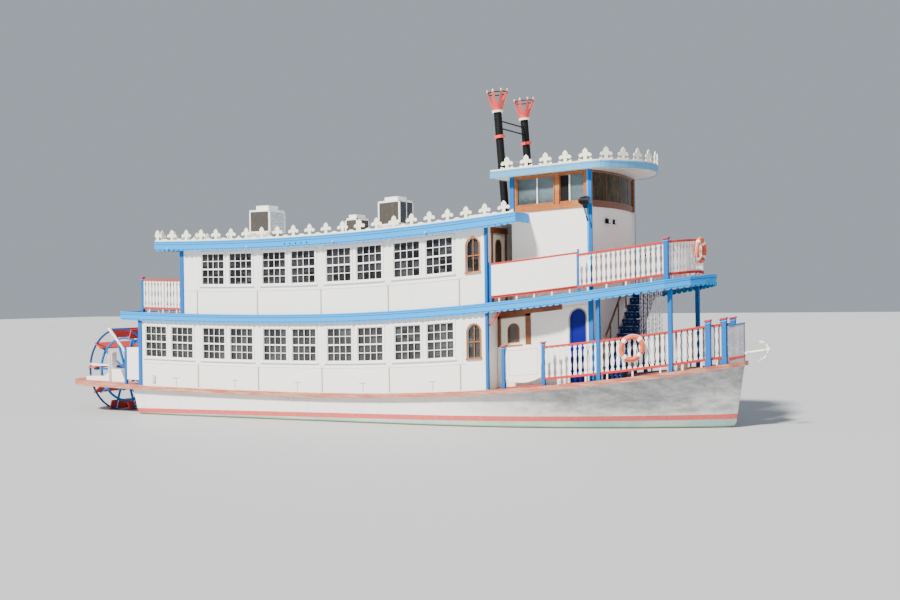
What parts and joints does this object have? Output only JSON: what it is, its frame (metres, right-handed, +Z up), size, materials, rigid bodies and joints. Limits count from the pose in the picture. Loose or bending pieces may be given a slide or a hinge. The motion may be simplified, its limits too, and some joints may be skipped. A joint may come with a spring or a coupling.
{
  "type": "stern-wheel paddle steamer",
  "caption": "Double-deck stern-wheel paddle steamer with a flat-bottomed hull, pilothouse, twin chimneys, hinged doors and gates, and a turning wheel.",
  "frame": {"origin": "on the centreline of the flat hull bottom, amidships", "axes": "+X to the bow, +Y to port, +Z up"},
  "size_m": [24.66, 5.65, 10.8971],
  "materials": {
    "hull_paint": "white gloss with a red stripe, teal bottom and waterline growth",
    "deck_paint": "worn red-brown deck paint",
    "guard_paint": "faded salmon paint, scuffed",
    "wheel_blue": "blue paint, weathered",
    "board_red": "red painted planks",
    "bearing_steel": "grey paint",
    "wall_white": "white painted panels",
    "window_glass": "clear, dark inside",
    "door_brown": "varnished brown",
    "door_blue": "ultramarine gloss",
    "trim_blue": "light blue paint",
    "roof_white": "white paint",
    "crest_cream": "cream painted cut-outs",
    "chimney_black": "black with coral-red crowns and collars",
    "cooler_grey": "white sheet metal with dark grilles",
    "rail_white": "white balusters under a red rail, blue posts",
    "stair_blue": "blue treads, white stringers",
    "anchor_cream": "cream paint",
    "ring_orange": "orange with white bands"
  },
  "bodies": {
    "ship": {"hull": "hull_paint", "main_deck": "deck_paint", "guard": "guard_paint", "stern_platform": "guard_paint", "wheel_bearing_starboard": "bearing_steel", "wheel_bearing_port": "bearing_steel", "main_wall_starboard": "wall_white", "main_wall_port": "wall_white", "main_wall_aft": "wall_white", "main_wall_front": "wall_white", "main_glass_starboard": "window_glass", "main_glass_port": "window_glass", "upper_wall_starboard": "wall_white", "upper_wall_port": "wall_white", "upper_wall_aft": "wall_white", "upper_wall_front": "wall_white", "upper_glass_starboard": "window_glass", "upper_glass_port": "window_glass", "upper_deck": "deck_paint", "upper_fascia": "trim_blue", "house_roof": "roof_white", "roof_fascia": "trim_blue", "roof_crest": "crest_cream", "cabin_walls": "wall_white", "trunk_walls": "wall_white", "pilothouse_frame": "door_brown", "pilothouse_glass": "window_glass", "pilothouse_roof": "trim_blue", "pilothouse_crest": "crest_cream", "chimneys": "chimney_black", "cooler_aft": "cooler_grey", "cooler_mid": "cooler_grey", "cooler_fore": "cooler_grey", "roof_locker": "roof_white", "main_rail_starboard": "rail_white", "main_rail_port": "rail_white", "upper_rail": "rail_white", "aft_rail": "rail_white", "stern_screen_starboard": "rail_white", "stern_screen_port": "rail_white", "stair": "stair_blue", "bow_panel": "rail_white", "anchor": "anchor_cream", "life_ring_main": "ring_orange", "life_ring_upper": "ring_orange", "searchlight": "chimney_black"},
    "paddle": {"paddle_wheel": "wheel_blue", "paddle_boards": "board_red"},
    "rudder_starboard_body": {"rudder_starboard": "bearing_steel"},
    "rudder_port_body": {"rudder_port": "bearing_steel"},
    "door_main_aft_body": {"door_main_aft": "door_brown"},
    "door_upper_aft_body": {"door_upper_aft": "door_brown"},
    "door_upper_starboard_body": {"door_upper_starboard": "door_brown"},
    "door_upper_port_body": {"door_upper_port": "door_brown"},
    "door_brown_starboard_body": {"door_brown_starboard": "door_brown"},
    "door_brown_port_body": {"door_brown_port": "door_brown"},
    "door_blue_starboard_body": {"door_blue_starboard": "door_blue"},
    "door_blue_port_body": {"door_blue_port": "door_blue"},
    "gate_starboard_body": {"gate_starboard": "rail_white"},
    "gate_port_body": {"gate_port": "rail_white"}
  },
  "joints": [
    {"name": "paddle_turn", "type": "hinge", "parent": "ship", "child": "paddle", "pos_m": [-10.38, 0, 2.18], "axis": [0, 1, 0], "continuous": true},
    {"name": "rudder_starboard_turn", "type": "hinge", "parent": "ship", "child": "rudder_starboard_body", "pos_m": [-8.07, -1.15, 0.25], "axis": [0, 0, 1], "range_deg": [-35, 35]},
    {"name": "rudder_port_turn", "type": "hinge", "parent": "ship", "child": "rudder_port_body", "pos_m": [-8.07, 1.15, 0.25], "axis": [0, 0, 1], "range_deg": [-35, 35]},
    {"name": "door_main_aft_swing", "type": "hinge", "parent": "ship", "child": "door_main_aft_body", "pos_m": [-8.35, 0.422, 2.65], "axis": [0, 0, 1], "range_deg": [0, 90]},
    {"name": "door_upper_aft_swing", "type": "hinge", "parent": "ship", "child": "door_upper_aft_body", "pos_m": [-6.51, 0.422, 5.25], "axis": [0, 0, 1], "range_deg": [0, 90]},
    {"name": "door_upper_starboard_swing", "type": "hinge", "parent": "ship", "child": "door_upper_starboard_body", "pos_m": [4.63, -2.122, 5.45], "axis": [0, 0, 1], "range_deg": [0, 90]},
    {"name": "door_upper_port_swing", "type": "hinge", "parent": "ship", "child": "door_upper_port_body", "pos_m": [4.63, 2.122, 5.45], "axis": [0, 0, -1], "range_deg": [0, 90]},
    {"name": "door_brown_starboard_swing", "type": "hinge", "parent": "ship", "child": "door_brown_starboard_body", "pos_m": [4.808, -1.82, 2.85], "axis": [0, 0, 1], "range_deg": [0, 90]},
    {"name": "door_brown_port_swing", "type": "hinge", "parent": "ship", "child": "door_brown_port_body", "pos_m": [4.808, 1.82, 2.85], "axis": [0, 0, -1], "range_deg": [0, 90]},
    {"name": "door_blue_starboard_swing", "type": "hinge", "parent": "ship", "child": "door_blue_starboard_body", "pos_m": [6.968, -1.82, 3.05], "axis": [0, 0, 1], "range_deg": [0, 90]},
    {"name": "door_blue_port_swing", "type": "hinge", "parent": "ship", "child": "door_blue_port_body", "pos_m": [6.968, 1.82, 3.05], "axis": [0, 0, -1], "range_deg": [0, 90]},
    {"name": "gate_starboard_swing", "type": "hinge", "parent": "ship", "child": "gate_starboard_body", "pos_m": [5.18, -2.39035, 2.45], "axis": [0, 0, -1], "range_deg": [0, 90]},
    {"name": "gate_port_swing", "type": "hinge", "parent": "ship", "child": "gate_port_body", "pos_m": [5.18, 2.39035, 2.45], "axis": [0, 0, 1], "range_deg": [0, 90]}
  ],
  "couplings": [
    {"joint": "rudder_port_turn", "follows": "rudder_starboard_turn", "ratio": 1}
  ]
}
